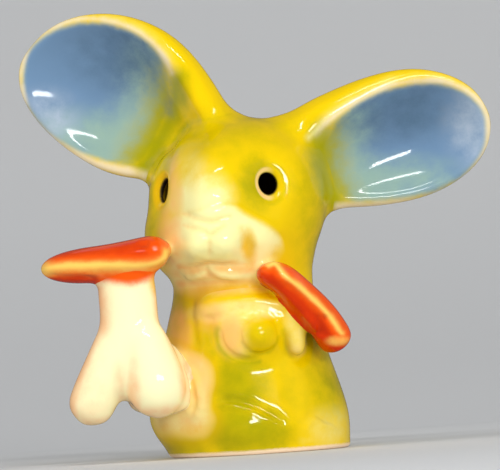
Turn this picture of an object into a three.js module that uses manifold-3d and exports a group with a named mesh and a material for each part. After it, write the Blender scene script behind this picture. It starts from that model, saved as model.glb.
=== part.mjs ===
// Hare figurine: a small hollow earthenware hare with dished ears and two orange toadstools.
// Millimetres, +Z up. The viewer stands at -Y; left and right are the viewer's.
// The origin is the middle of the outline, on the shelf.
import * as THREE from 'three';
import { mergeVertices } from 'three/addons/utils/BufferGeometryUtils.js';
import Module from 'manifold-3d';

const wasm = await Module();
wasm.setup();

// Clay
const WALL = 3.0; // thickness of the two cast shells
const SEAM = 0.3; // luting gap between neighbouring pieces

// Body shell: width, depth and sideways shift at the foot, hip, chest and neck
const BODY_HEIGHT = 31.0;
const HIP_HEIGHT = 7.0;
const CHEST_HEIGHT = 20.9;
const FOOT_WIDTH = 32.8;
const HIP_WIDTH = 36.5;
const CHEST_WIDTH = 29.2;
const NECK_WIDTH = 24.8;
const FOOT_DEPTH = 28.5;
const HIP_DEPTH = 30.5;
const CHEST_DEPTH = 26.0;
const NECK_DEPTH = 23.0;
const FOOT_SHIFT = 0.4;
const HIP_SHIFT = -1.45;
const CHEST_SHIFT = -1.6;
const NECK_SHIFT = -0.9;
const BODY_SIDES = 44;
const BODY_RINGS = 14;

// Head shell: heights are measured from the neck seam
const HEAD_HEIGHT = 29.9;
const JAW_RISE = 5.6;
const CHEEK_RISE = 9.6;
const TEMPLE_RISE = 15.6;
const JAW_WIDTH = 30.7;
const CHEEK_WIDTH = 32.9;
const TEMPLE_WIDTH = 32.9;
const JAW_DEPTH = 27.0;
const CHEEK_DEPTH = 29.5;
const TEMPLE_DEPTH = 31.0;
const JAW_SHIFT = -2.45;
const CHEEK_SHIFT = -1.95;
const TEMPLE_SHIFT = -0.85;
const CROWN_SHIFT = 0.6;
const HEAD_SIDES = 64;
const JAW_RINGS = 18;
const DOME_RINGS = 9;

// Face: the middle of the face is turned to the viewer's left
const FACE_TURN = 16.5;
const FACE_RADIUS = 18;
const EYE_SPREAD = { left: 50, right: 40 }; // bearings of the eyes from the middle of the face
const EYE_RISE = 17.4;
const EYE_WIDE = 4.1;
const EYE_TALL = 4.4;
const LEFT_EYE_ACROSS = -THREE.MathUtils.degToRad(EYE_SPREAD.left) * FACE_RADIUS;
const RIGHT_EYE_ACROSS = THREE.MathUtils.degToRad(EYE_SPREAD.right) * FACE_RADIUS;
// across and up place each swelling on the face, wide and tall spread it, proud is its height
const FACE = {
  forehead: { across: 0.0, up: 25.0, wide: 10.0, tall: 5.5, proud: 0.9 },
  bridge: { across: -0.3, up: 18.0, wide: 5.2, tall: 8.5, proud: 2.6 },
  nose: { across: 0.7, up: 13.4, wide: 3.4, tall: 1.8, proud: 1.2 },
  snout: { across: 1.2, up: 8.2, wide: 8.4, tall: 6.0, proud: 4.4 },
  left_puff: { across: -1.3, up: 7.2, wide: 2.2, tall: 2.5, proud: 1.2 },
  right_puff: { across: 4.2, up: 7.2, wide: 2.2, tall: 2.5, proud: 1.2 },
  left_cheek: { across: -8.3, up: 6.6, wide: 3.6, tall: 3.5, proud: 1.1 },
  right_cheek: { across: 11.6, up: 6.8, wide: 3.8, tall: 3.6, proud: 1.3 },
  right_fold: { across: 8.0, up: 6.7, wide: 1.3, tall: 2.8, proud: -0.6 },
  mouth: { across: 1.5, up: 3.1, wide: 7.0, tall: 0.9, proud: -1.1 },
  lower_lip: { across: 1.5, up: 1.3, wide: 6.2, tall: 1.0, proud: 1.6 },
  left_socket: { across: LEFT_EYE_ACROSS, up: EYE_RISE, wide: 3.6, tall: 4.4, proud: -1.2 },
  right_socket: { across: RIGHT_EYE_ACROSS, up: EYE_RISE, wide: 3.6, tall: 4.4, proud: -1.2 },
};

// Feet: two low swellings at the front of the foot
const FEET = {
  left_foot: { across: -2.5, up: 5.0, wide: 6.0, tall: 4.0, proud: 0.7 },
  right_foot: { across: 12.5, up: 3.2, wide: 4.5, tall: 3.2, proud: 0.9 },
};

// Ears: a dish with a thick upper roll, its root running into the head below the crown
const EAR_SUNK = 7;
const EAR_RIM = 1.0;
const EAR_ROLL = 4.2;
const EAR_LOWER_EDGE = 1.5;
const EAR_STATIONS = 21;
const LEFT_EAR = {
  across: -5.7,
  back: 1.0,
  drop: 7.1,
  rise: 30.4,
  sweep: 16,
  tilt: 12,
  length: 39.5,
  rootHalf: 6.4,
  fullHalf: 14.2,
  fullAt: 18.9,
  bow: 2.9,
  dish: 5.6,
};
const RIGHT_EAR = {
  across: 14.5,
  back: 1.0,
  drop: 8.3,
  rise: 9.5,
  sweep: 4,
  tilt: 10,
  length: 31.6,
  rootHalf: 9.9,
  fullHalf: 12.0,
  fullAt: 15,
  bow: 0.5,
  dish: 5.2,
};

// Left toadstool: an oval cap edge-on to the viewer, on a stem with a three-lobed foot
const LEFT_CAP_LENGTH = 23.6;
const LEFT_CAP_THICK = 6.2;
const LEFT_CAP_DEPTH = 10;
const LEFT_CAP_DIP = 2.2; // how far the tip hangs below the butt
const LEFT_CAP_BUTT = { bearing: -39.6, rise: 6.7, proud: 3.1 }; // on the jaw
const STEM_FROM_TIP = 15.2;
const STEM_DROP = 29.0;
const STEM_TOP_HALF = 5.4;
const STEM_FLARE_HALF = 8.4;
const STEM_DEEP_HALF = 4.6;
// Each lobe: sideways and forward places at its root, bend and tip, its radius, where it starts and ends
// as shares of the stem's drop, and the share of its length that its end is rounded over
const LOBES = {
  left: {
    root: [-1.4, 0.0],
    bend: [-5.5, -0.4],
    tip: [-9.3, -0.4],
    radius: 4.4,
    start: 0.34,
    end: 1.0,
    blunt: 0.2,
  },
  right: {
    root: [1.8, -0.6],
    bend: [4.1, -2.0],
    tip: [5.0, -2.4],
    radius: 5.4,
    start: 0.34,
    end: 0.99,
    blunt: 0.3,
  },
  rear: {
    root: [2.6, 2.0],
    bend: [5.2, 3.4],
    tip: [5.2, 3.6],
    radius: 6.5,
    start: 0.5,
    end: 0.98,
    blunt: 0.17,
  },
};

// Right toadstool cap: slanting from the corner of the mouth to the hip
const RIGHT_CAP_THICK = 6.2;
const RIGHT_CAP_NARROW = 4.9; // thickness at the end by the mouth
const RIGHT_CAP_DEPTH = 8;
// Places on the body: bearing from the front, drop below the neck seam, and how proud of the clay
const RIGHT_CAP_PATH = [
  { bearing: 8.6, drop: -1.2, proud: -0.6 },
  { bearing: 22.4, drop: -1.0, proud: 0.4 },
  { bearing: 38.6, drop: 3.1, proud: 0.5 },
  { bearing: 52.8, drop: 7.8, proud: 0.9 },
  { bearing: 62.8, drop: 12.8, proud: 0.9 },
];

// Arm across the chest, and the paw it curls round
const ARM_RADIUS = 2.5;
const FINGER_RADIUS = 1.9;
const ARM_PATH = [
  { bearing: -42.0, drop: 4.4, proud: -1.1 },
  { bearing: -13.7, drop: 4.1, proud: -0.5 },
  { bearing: 20.2, drop: 4.6, proud: 0.0 },
  { bearing: 38.5, drop: 8.0, proud: 0.9 },
  { bearing: 41.5, drop: 13.4, proud: 0.7 },
];
const PAW_RADIUS = 5.5;
const PAW_THICK = 4.8;
const PAW_CENTRE = { bearing: 6.5, drop: 8.8, proud: -0.4 };
const BALL_RADIUS = 3.2;
const BALL_THICK = 4.4;
const BALL_CENTRE = { bearing: 13.8, drop: 9.3, proud: 1.2 };

// Glazes
const GLAZE = {
  lime: { color: 0xcfc51a, roughness: 0.12, metalness: 0 },
  cream: { color: 0xf3dd8c, roughness: 0.12, metalness: 0 },
  blue: { color: 0x6d8cae, roughness: 0.12, metalness: 0 },
  white: { color: 0xfff3d6, roughness: 0.12, metalness: 0 },
  orange: { color: 0xe8560f, roughness: 0.12, metalness: 0 },
};

const deg = THREE.MathUtils.degToRad;
const mix = THREE.MathUtils.lerp;
const ease = (x) => THREE.MathUtils.smoothstep(x, 0, 1);

// A smooth function through [place, value] stations, level at its end where a dome follows.
function through(stations, level = false) {
  const last = stations.length - 1;
  const slope = stations.map((s, i) => {
    const before = stations[Math.max(i - 1, 0)];
    const after = stations[Math.min(i + 1, last)];
    return level && i === last ? 0 : (after[1] - before[1]) / (after[0] - before[0]);
  });
  return (at) => {
    let i = 0;
    while (i < last - 1 && at > stations[i + 1][0]) i += 1;
    const [x0, y0] = stations[i];
    const [x1, y1] = stations[i + 1];
    const run = x1 - x0;
    const t = THREE.MathUtils.clamp((at - x0) / run, 0, 1);
    const turn = y1 - y0;
    const lead = slope[i] * run - turn;
    const tail = turn - slope[i + 1] * run;
    return mix(y0, y1, t) + t * (1 - t) * (lead * (1 - t) + tail * t);
  };
}

// A closed skin over a row of rings, with a point or a flat fan at each end.
function loft(rings, first, last) {
  const sides = rings[0].length;
  const points = [...rings.flat(), first, last];
  const index = [];
  for (let k = 0; k + 1 < rings.length; k += 1) {
    for (let j = 0; j < sides; j += 1) {
      const a = k * sides + j;
      const b = k * sides + ((j + 1) % sides);
      index.push(a, b, a + sides, b, b + sides, a + sides);
    }
  }
  const end = (rings.length - 1) * sides;
  for (let j = 0; j < sides; j += 1) {
    const next = (j + 1) % sides;
    index.push(next, j, points.length - 2);
    index.push(end + j, end + next, points.length - 1);
  }
  const geometry = new THREE.BufferGeometry().setFromPoints(points);
  geometry.setIndex(index);
  return geometry;
}

// The same skin moved out along its normals.
function grown(geometry, distance) {
  const copy = geometry.clone();
  copy.computeVertexNormals();
  const at = copy.getAttribute('position');
  const normal = copy.getAttribute('normal');
  const p = new THREE.Vector3();
  const n = new THREE.Vector3();
  for (let i = 0; i < at.count; i += 1) {
    p.fromBufferAttribute(at, i).addScaledVector(n.fromBufferAttribute(normal, i), distance);
    at.setXYZ(i, p.x, p.y, p.z);
  }
  return copy;
}

function solid(geometry) {
  const bare = geometry.clone();
  bare.deleteAttribute('normal');
  bare.deleteAttribute('uv');
  const merged = mergeVertices(bare, 1e-4);
  return new wasm.Manifold(
    new wasm.Mesh({
      numProp: 3,
      vertProperties: new Float32Array(merged.getAttribute('position').array),
      triVerts: new Uint32Array(merged.index.array),
    }),
  );
}

function piece(name, body, glaze) {
  const skin = body.getMesh();
  const geometry = new THREE.BufferGeometry();
  geometry.setAttribute('position', new THREE.BufferAttribute(skin.vertProperties, 3));
  geometry.setIndex(new THREE.BufferAttribute(skin.triVerts, 1));
  geometry.computeVertexNormals();
  const mesh = new THREE.Mesh(geometry, new THREE.MeshStandardMaterial(glaze));
  mesh.name = name;
  return mesh;
}

// Swelling of a modelled surface at a place measured across and up from its middle.
function swelling(features, across, up) {
  return Object.values(features).reduce((sum, f) => {
    const x = (across - f.across) / f.wide;
    const y = (up - f.up) / f.tall;
    return sum + f.proud * Math.exp(-x * x - y * y);
  }, 0);
}

// An oval ring round the upright axis. Bearings run from the front, positive to the right.
function ovalRing({ half, deep, shift, height, sides, crowd = 0, swell = () => 0 }) {
  return Array.from({ length: sides }, (unused, j) => {
    const even = (2 * Math.PI * j) / sides - Math.PI;
    const bearing = even - crowd * Math.sin(even);
    const oval = 1 / Math.hypot(Math.sin(bearing) / half, Math.cos(bearing) / deep);
    const reach = oval + swell(bearing, height);
    return new THREE.Vector3(shift + reach * Math.sin(bearing), -reach * Math.cos(bearing), height);
  });
}

// A place on, or proud of, an oval form whose half width, half depth and shift change with height.
function onForm({ half, deep, shift }, bearing, height, proud) {
  const turn = deg(bearing);
  const oval = 1 / Math.hypot(Math.sin(turn) / half(height), Math.cos(turn) / deep(height));
  const reach = oval + proud;
  return new THREE.Vector3(shift(height) + reach * Math.sin(turn), -reach * Math.cos(turn), height);
}

const middle = (ring) => ring.reduce((sum, p) => sum.add(p), new THREE.Vector3()).divideScalar(ring.length);

// Body
const bodyHalf = through([
  [0, FOOT_WIDTH / 2],
  [HIP_HEIGHT, HIP_WIDTH / 2],
  [CHEST_HEIGHT, CHEST_WIDTH / 2],
  [BODY_HEIGHT, NECK_WIDTH / 2],
]);
const bodyDeep = through([
  [0, FOOT_DEPTH / 2],
  [HIP_HEIGHT, HIP_DEPTH / 2],
  [CHEST_HEIGHT, CHEST_DEPTH / 2],
  [BODY_HEIGHT, NECK_DEPTH / 2],
]);
const bodyShift = through([
  [0, FOOT_SHIFT],
  [HIP_HEIGHT, HIP_SHIFT],
  [CHEST_HEIGHT, CHEST_SHIFT],
  [BODY_HEIGHT, NECK_SHIFT],
]);

function bodyForm(inset, below, above, sides, rings, swell) {
  const stack = Array.from({ length: rings + 1 }, (unused, k) => {
    const height = mix(-below, BODY_HEIGHT + above, k / rings);
    return ovalRing({
      half: bodyHalf(height) - inset,
      deep: bodyDeep(height) - inset,
      shift: bodyShift(height),
      height,
      sides,
      swell,
    });
  });
  return loft(stack, middle(stack[0]), middle(stack[rings]));
}

const feet = (bearing, height) => swelling(FEET, (bearing * HIP_WIDTH) / 2, height);
const bodySkin = bodyForm(0, 0, 0, BODY_SIDES, BODY_RINGS, feet);
const bodyHollow = bodyForm(WALL, 1, 1, 28, 8);
const bodyShell = solid(bodySkin).subtract(solid(bodyHollow));
const bodySeat = solid(grown(bodySkin, SEAM));

// Head, modelled from the neck seam upwards; its profiles stand upright where the dome begins
const upright = (stations) => through(stations, true);
const headHalf = upright([
  [0, NECK_WIDTH / 2],
  [JAW_RISE, JAW_WIDTH / 2],
  [CHEEK_RISE, CHEEK_WIDTH / 2],
  [TEMPLE_RISE, TEMPLE_WIDTH / 2],
]);
const headDeep = upright([
  [0, NECK_DEPTH / 2],
  [JAW_RISE, JAW_DEPTH / 2],
  [CHEEK_RISE, CHEEK_DEPTH / 2],
  [TEMPLE_RISE, TEMPLE_DEPTH / 2],
]);
const headShift = upright([
  [0, NECK_SHIFT],
  [JAW_RISE, JAW_SHIFT],
  [CHEEK_RISE, CHEEK_SHIFT],
  [TEMPLE_RISE, TEMPLE_SHIFT],
]);

function headForm(inset, below, sides, jawRings, domeRings, crowd, swell) {
  const dome = HEAD_HEIGHT - TEMPLE_RISE - inset;
  const stack = [];
  for (let k = 0; k < jawRings; k += 1) {
    const height = mix(-below, TEMPLE_RISE, k / jawRings);
    stack.push({
      half: headHalf(height) - inset,
      deep: headDeep(height) - inset,
      shift: headShift(height),
      height,
    });
  }
  for (let k = 0; k < domeRings; k += 1) {
    const lean = (Math.PI / 2) * (k / domeRings);
    stack.push({
      half: (TEMPLE_WIDTH / 2 - inset) * Math.cos(lean),
      deep: (TEMPLE_DEPTH / 2 - inset) * Math.cos(lean),
      shift: mix(TEMPLE_SHIFT, CROWN_SHIFT, Math.sin(lean) ** 2),
      height: TEMPLE_RISE + dome * Math.sin(lean),
    });
  }
  const rings = stack.map((oval) => ovalRing({ ...oval, sides, crowd, swell }));
  return loft(rings, middle(rings[0]), new THREE.Vector3(CROWN_SHIFT, 0, TEMPLE_RISE + dome));
}

const faceMiddle = -deg(FACE_TURN);
const face = (bearing, height) => swelling(FACE, (bearing - faceMiddle) * FACE_RADIUS, height);

function eyeHole(across) {
  const bearing = faceMiddle + across / FACE_RADIUS;
  const hole = new THREE.CylinderGeometry(0.5, 0.5, TEMPLE_WIDTH / 2, 20);
  hole.scale(EYE_WIDE, 1, EYE_TALL);
  hole.translate(0, -TEMPLE_WIDTH / 2, 0);
  hole.rotateZ(bearing);
  hole.translate(TEMPLE_SHIFT, 0, EYE_RISE);
  return solid(hole);
}

const headSkin = headForm(0, 0, HEAD_SIDES, JAW_RINGS, DOME_RINGS, 0.5, face);
const headHollow = headForm(WALL, 1, 30, 8, 7, 0);
const eyeHoles = eyeHole(LEFT_EYE_ACROSS).add(eyeHole(RIGHT_EYE_ACROSS));
const headShell = solid(headSkin).subtract(solid(headHollow)).subtract(eyeHoles);
const headSeat = solid(grown(headSkin, SEAM));

// Ears, modelled in the head's frame
function earForm(ear, side) {
  const out = new THREE.Vector3(side, 0, 0);
  out.applyAxisAngle(new THREE.Vector3(0, 0, 1), side * deg(ear.sweep));
  out.z = Math.tan(deg(ear.rise));
  out.normalize();
  const facing = new THREE.Vector3(0, -1, 0);
  facing.addScaledVector(out, -facing.dot(out)).normalize();
  facing.applyAxisAngle(out, side * deg(ear.tilt));
  const up = new THREE.Vector3().crossVectors(facing, out).multiplyScalar(side);
  const root = new THREE.Vector3(ear.across, ear.back, HEAD_HEIGHT - ear.drop);
  const place = (u, v, w) =>
    root.clone().addScaledVector(out, u).addScaledVector(up, v).addScaledVector(facing, w);
  const crowding = deg(84);
  const rings = [];
  for (let k = 0; k <= EAR_STATIONS; k += 1) {
    const along = Math.sin((crowding * k) / EAR_STATIONS) / Math.sin(crowding);
    const u = mix(-EAR_SUNK, ear.length, along);
    const grow = Math.sin((Math.PI / 2) * THREE.MathUtils.clamp(u / ear.fullAt, 0, 1));
    const far = THREE.MathUtils.clamp((u - ear.fullAt) / (ear.length - ear.fullAt), 0, 0.995);
    const taper = Math.sqrt(1 - far * far) * (1 - 0.4 * THREE.MathUtils.clamp(-u / EAR_SUNK, 0, 1));
    const upper = mix(EAR_ROLL, EAR_RIM, ease(u / (0.85 * ear.length)));
    const lower = mix(EAR_LOWER_EDGE, EAR_RIM, ease(u / ear.length));
    const half = mix(ear.rootHalf, ear.fullHalf, grow) * taper - ((upper + lower) / 2) * taper;
    const bow = (ear.bow - (upper - lower) / 2) * taper;
    const dish = ear.dish * mix(0.35, 1, grow) * taper * taper;
    const edge = (s) => mix(lower, upper, ease((s + 1) / 2));
    const ring = [];
    for (let i = 0; i <= 8; i += 1) {
      const s = -1 + i / 4;
      ring.push(place(u, bow + half * s, edge(s) - dish * (1 - s * s)));
    }
    for (const turn of [45, 0, -45]) {
      ring.push(place(u, bow + half + upper * Math.cos(deg(turn)), upper * Math.sin(deg(turn))));
    }
    for (let i = 8; i >= 0; i -= 1) {
      const s = -1 + i / 4;
      ring.push(place(u, bow + half * s, -edge(s) - dish * (1 - s * s)));
    }
    for (const turn of [225, 180, 135]) {
      ring.push(place(u, bow - half + lower * Math.cos(deg(turn)), lower * Math.sin(deg(turn))));
    }
    rings.push(side > 0 ? ring.reverse() : ring);
  }
  return loft(rings, middle(rings[0]), place(ear.length + EAR_RIM / 2, 0, 0));
}

// A rod of oval section along a path that lies near the X-Z plane.
function rodForm(path, thick, deep, stations, sides) {
  const curve = new THREE.CatmullRomCurve3(path);
  const rings = [];
  for (let k = 0; k <= stations; k += 1) {
    const t = k / stations;
    const spot = curve.getPointAt(t);
    const along = curve.getTangentAt(t);
    const back = new THREE.Vector3(0, 1, 0);
    back.addScaledVector(along, -back.dot(along)).normalize();
    const over = new THREE.Vector3().crossVectors(back, along);
    const ring = [];
    for (let j = 0; j < sides; j += 1) {
      const turn = (2 * Math.PI * j) / sides;
      ring.push(
        spot
          .clone()
          .addScaledVector(over, thick(t) * Math.cos(turn))
          .addScaledVector(back, deep(t) * Math.sin(turn)),
      );
    }
    rings.push(ring);
  }
  return loft(rings, curve.getPointAt(0), curve.getPointAt(1));
}

const round = (t, start, end) => {
  const near = Math.min(t / start, 1);
  const far = Math.min((1 - t) / end, 1);
  return Math.sqrt(Math.max(0.02, 1 - (1 - near) ** 2)) * Math.sqrt(Math.max(0.02, 1 - (1 - far) ** 2));
};

// Left toadstool cap, in the head's frame: its tip points away from the face
const head = { half: headHalf, deep: headDeep, shift: headShift };
const capButt = onForm(head, LEFT_CAP_BUTT.bearing, LEFT_CAP_BUTT.rise, LEFT_CAP_BUTT.proud);
const capTip = capButt.clone().add(new THREE.Vector3(-LEFT_CAP_LENGTH, 0.6, -LEFT_CAP_DIP));
const capMiddle = capTip.clone().lerp(capButt, 0.5).add(new THREE.Vector3(0, -0.6, -0.6));
const leftCapShape = (t) => round(t, 0.42, 0.16);
const leftCapSkin = rodForm(
  [capTip, capMiddle, capButt],
  (t) => (LEFT_CAP_THICK / 2) * leftCapShape(t),
  (t) => (LEFT_CAP_DEPTH / 2) * leftCapShape(t),
  16,
  16,
);

// Pieces that meet both shells are cut in the part's frame
const headLift = new THREE.Matrix4().makeTranslation(0, 0, BODY_HEIGHT + SEAM);
const lifted = (geometry) => geometry.clone().applyMatrix4(headLift);
const highHeadSeat = solid(lifted(grown(headSkin, SEAM)));
const leftCap = solid(lifted(leftCapSkin)).subtract(highHeadSeat).subtract(bodySeat);
const leftCapSeat = solid(lifted(grown(leftCapSkin, SEAM)));

// Left stem: a flaring stalk that parts into three lobes
const stemTop = capTip.clone().applyMatrix4(headLift).add(new THREE.Vector3(STEM_FROM_TIP, -0.4, 0.4));
const stemAt = ([x, y], fall) => stemTop.clone().add(new THREE.Vector3(x, y, -fall * STEM_DROP));
const stalk = rodForm(
  [stemAt([0, 0], 0), stemAt([0.2, 0], 0.4), stemAt([-1.4, 0], 0.86)],
  (t) => mix(STEM_TOP_HALF, STEM_FLARE_HALF, ease((t - 0.4) / 0.45)) * round(t, 0.02, 0.22),
  (t) => STEM_DEEP_HALF * round(t, 0.02, 0.22),
  12,
  16,
);
function lobeForm({ root, bend, tip, radius, start, end, blunt }) {
  const swell = (t) => radius * mix(0.72, 1, ease(t / 0.7)) * round(t, 0.25, blunt);
  const path = [stemAt(root, start), stemAt(bend, mix(start, end, 0.58)), stemAt(tip, end)];
  return rodForm(path, swell, swell, 12, 16);
}
const leftStem = Object.values(LOBES)
  .reduce((whole, lobe) => whole.add(solid(lobeForm(lobe))), solid(stalk))
  .subtract(leftCapSeat)
  .subtract(bodySeat)
  .subtract(highHeadSeat);

// Right toadstool cap, lying against the body
const body = { half: bodyHalf, deep: bodyDeep, shift: bodyShift };
const onBody = ({ bearing, drop, proud }) => onForm(body, bearing, BODY_HEIGHT - drop, proud);
const rightCapPath = RIGHT_CAP_PATH.map((p) => onBody({ ...p, proud: p.proud + RIGHT_CAP_DEPTH / 2 }));
const rightCapShape = (t) => round(t, 0.2, 0.08);
const rightCapSkin = rodForm(
  rightCapPath,
  (t) => (mix(RIGHT_CAP_NARROW, RIGHT_CAP_THICK, ease(t / 0.7)) / 2) * rightCapShape(t),
  (t) => (RIGHT_CAP_DEPTH / 2) * rightCapShape(t),
  18,
  14,
);
const rightCap = solid(rightCapSkin).subtract(highHeadSeat).subtract(bodySeat);
const rightCapSeat = solid(grown(rightCapSkin, SEAM));

// Arm and paw
const armSwell = (t) => mix(ARM_RADIUS, FINGER_RADIUS, ease((t - 0.6) / 0.3)) * round(t, 0.14, 0.09);
const armSkin = rodForm(ARM_PATH.map(onBody), armSwell, armSwell, 20, 12);
const arm = solid(armSkin).subtract(bodySeat).subtract(highHeadSeat).subtract(rightCapSeat);
const armSeat = solid(grown(armSkin, SEAM));
const pawDisc = new THREE.SphereGeometry(PAW_RADIUS, 24, 14);
pawDisc.scale(1, PAW_THICK / 2 / PAW_RADIUS, 1).translate(...onBody(PAW_CENTRE));
const pawBall = new THREE.SphereGeometry(BALL_RADIUS, 18, 12);
pawBall.scale(1, BALL_THICK / 2 / BALL_RADIUS, 1).translate(...onBody(BALL_CENTRE));
const paw = solid(pawDisc).add(solid(pawBall)).subtract(bodySeat).subtract(armSeat);

// Assembly
const headGroup = new THREE.Group();
headGroup.position.z = BODY_HEIGHT + SEAM;
headGroup.add(piece('head_shell', headShell, GLAZE.lime));
headGroup.add(piece('left_ear', solid(earForm(LEFT_EAR, -1)).subtract(headSeat), GLAZE.blue));
headGroup.add(piece('right_ear', solid(earForm(RIGHT_EAR, 1)).subtract(headSeat), GLAZE.blue));

const figure = new THREE.Group();
figure.add(piece('body_shell', bodyShell, GLAZE.lime));
figure.add(headGroup);
figure.add(piece('left_cap', leftCap, GLAZE.orange));
figure.add(piece('left_stem', leftStem, GLAZE.white));
figure.add(piece('right_cap', rightCap, GLAZE.orange));
figure.add(piece('arm', arm, GLAZE.cream));
figure.add(piece('paw', paw, GLAZE.cream));
figure.updateMatrixWorld(true);
const outline = new THREE.Box3().setFromObject(figure);
const centre = outline.getCenter(new THREE.Vector3());
figure.position.set(-centre.x, -centre.y, -outline.min.z);

const part = new THREE.Group();
part.add(figure);
export default part;
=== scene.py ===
"""Dresses the hare figurine: earthenware, airbrushed with stains under a clear gloss glaze.

The CAD pieces become one field of distances. The field is softened and the seams are luted, as
slip and glaze do it, the face and the small relief are modelled into it, and it is parted again
into one closed mesh for each CAD node. Lengths are millimetres in the part's frame until a mesh
is made. Places and paths on the figure's front are given across and up.
"""

import math

import bpy
import numpy as np
import openvdb as vdb
from mathutils import Matrix, Vector


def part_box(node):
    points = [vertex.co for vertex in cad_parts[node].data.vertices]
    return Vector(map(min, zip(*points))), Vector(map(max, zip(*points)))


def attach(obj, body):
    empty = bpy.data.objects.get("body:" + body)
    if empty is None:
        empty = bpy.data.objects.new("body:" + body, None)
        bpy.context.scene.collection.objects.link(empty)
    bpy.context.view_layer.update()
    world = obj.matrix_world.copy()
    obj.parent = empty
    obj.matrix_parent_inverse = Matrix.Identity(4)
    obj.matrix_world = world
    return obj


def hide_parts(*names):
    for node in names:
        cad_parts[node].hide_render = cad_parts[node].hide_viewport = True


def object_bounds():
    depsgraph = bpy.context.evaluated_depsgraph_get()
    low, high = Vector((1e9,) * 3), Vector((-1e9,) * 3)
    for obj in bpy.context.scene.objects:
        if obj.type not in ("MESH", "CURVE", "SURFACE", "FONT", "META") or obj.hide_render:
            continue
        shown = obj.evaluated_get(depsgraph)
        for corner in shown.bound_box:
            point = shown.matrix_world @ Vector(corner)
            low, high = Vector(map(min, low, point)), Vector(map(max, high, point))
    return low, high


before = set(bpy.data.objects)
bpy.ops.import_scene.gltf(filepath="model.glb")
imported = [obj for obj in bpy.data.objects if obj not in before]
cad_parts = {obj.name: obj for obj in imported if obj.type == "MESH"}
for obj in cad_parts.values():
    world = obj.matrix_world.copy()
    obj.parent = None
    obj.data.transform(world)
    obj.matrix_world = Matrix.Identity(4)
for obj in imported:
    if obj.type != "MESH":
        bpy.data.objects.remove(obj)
cad_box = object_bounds()

MM = 0.001
VOXEL = 0.3
MARGIN = 4.0  # room round the figure
BAND = 4.5  # distances are kept this far from a surface
STROKE_REACH = 2.6  # widths out to which a stroke or a blur counts
SPOT_REACH = 2.4  # and a spot

# The CAD nodes, with how far the glaze softens each one's edges
SOFTNESS = {
    "body_shell": 1.0,
    "head_shell": 0.9,
    "left_ear": 0.8,
    "right_ear": 0.8,
    "left_cap": 0.7,
    "left_stem": 0.9,
    "right_cap": 0.7,
    "arm": 0.8,
    "paw": 0.6,
}
EAR_EDGE = 0.35  # glaze that keeps the thin ear rims at their width
CAP_EDGE = 0.25  # and the caps at theirs
FOOT_EDGE = 0.3  # and the foot at its width,
FOOT_EDGE_HEIGHT = 1.2  # up to about here

# Fillets that the luting leaves between pieces
EAR_FILLET = 4.0
NECK_FILLET = 3.0
CAP_FILLET = 1.4
STEM_FILLET = 2.0
CHEST_FILLET = 3.0

# Overlap of neighbouring meshes, and how far each dips under the other there
SEAM_OVERLAP = 0.4
SEAM_DIP = 0.03
CAP_DIP = 0.08  # deeper at the caps, where the colour changes
SMOOTHING = 3  # rounds of evening out the meshes

# Face
NOSE_UPPER = [(-14.8, 44.5), (-13.0, 43.9), (-11.2, 43.0), (-9.4, 42.6), (-7.6, 42.8), (-5.6, 43.4)]
NOSE_LOWER = [(-14.2, 42.2), (-12.4, 41.5), (-10.8, 40.9), (-9.5, 40.2), (-8.2, 40.8), (-6.8, 41.7)]
PHILTRUM = [(-9.6, 39.8), (-9.8, 36.0)]
LEFT_PUFF = (-12.2, 37.8)
RIGHT_PUFF = (-6.8, 37.6)
LOWER_LIP = (-8.4, 32.4)
MOUTH = [(-15.4, 34.6), (-12.8, 34.4), (-10.2, 35.0), (-7.0, 34.6), (-2.2, 34.4)]
LEFT_LIP = [(-15.2, 33.4), (-13.2, 32.8), (-11.0, 33.4)]
RIGHT_LIP = [(-9.8, 34.0), (-8.2, 33.0), (-6.0, 32.5), (-3.0, 32.4)]
LIP_PARTING = [(-10.3, 34.6), (-10.5, 33.4), (-10.4, 32.2)]
CHIN_LINE = [(-15.6, 31.6), (-10.0, 31.4), (-2.4, 31.2)]
CHEEK_CREST = [
    (-8.4, 45.8), (-6.6, 45.5), (-5.0, 45.0), (-3.4, 43.8), (-1.6, 42.6), (0.6, 41.4),
    (2.6, 40.2), (4.4, 38.8),
]
OCHRE_FOLD = [(-3.8, 41.0), (-3.2, 39.2), (-2.7, 37.4), (-2.8, 35.4)]
FOLD_RIDGE = [(-3.8, 43.0), (-2.7, 41.4), (-1.3, 38.6), (-1.1, 36.4)]
EAR_CREASE = [
    (-4.0, 61.9), (-7.6, 61.2), (-10.9, 60.9), (-12.6, 60.1), (-14.1, 59.0), (-15.2, 57.4),
    (-16.2, 54.2), (-17.0, 51.4),
]

# Eye holes
EYE_AXIS = (-4.08, 2.65, 48.7)  # where the lines of the two holes cross
EYE_HOLES = {"left": -66.5, "right": 23.5}  # bearings of the holes
EYE_SIZE = (4.1, 4.4)
EYE_START = 6  # how far out from the axis the holes start
EYE_ROOM = np.array([20.0, 20.0, 6.0])  # box round the axis that takes in both holes
EYE_GLAZE = 0.2  # thickness of the glaze that rolls over the holes' edges
EYE_ROLL = 0.85  # where that roll lies, as a share of a hole
EYE_ROLL_WIDTH = 0.2
FAR_OFF = 9  # stands for any place that isn't at a hole

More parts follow.
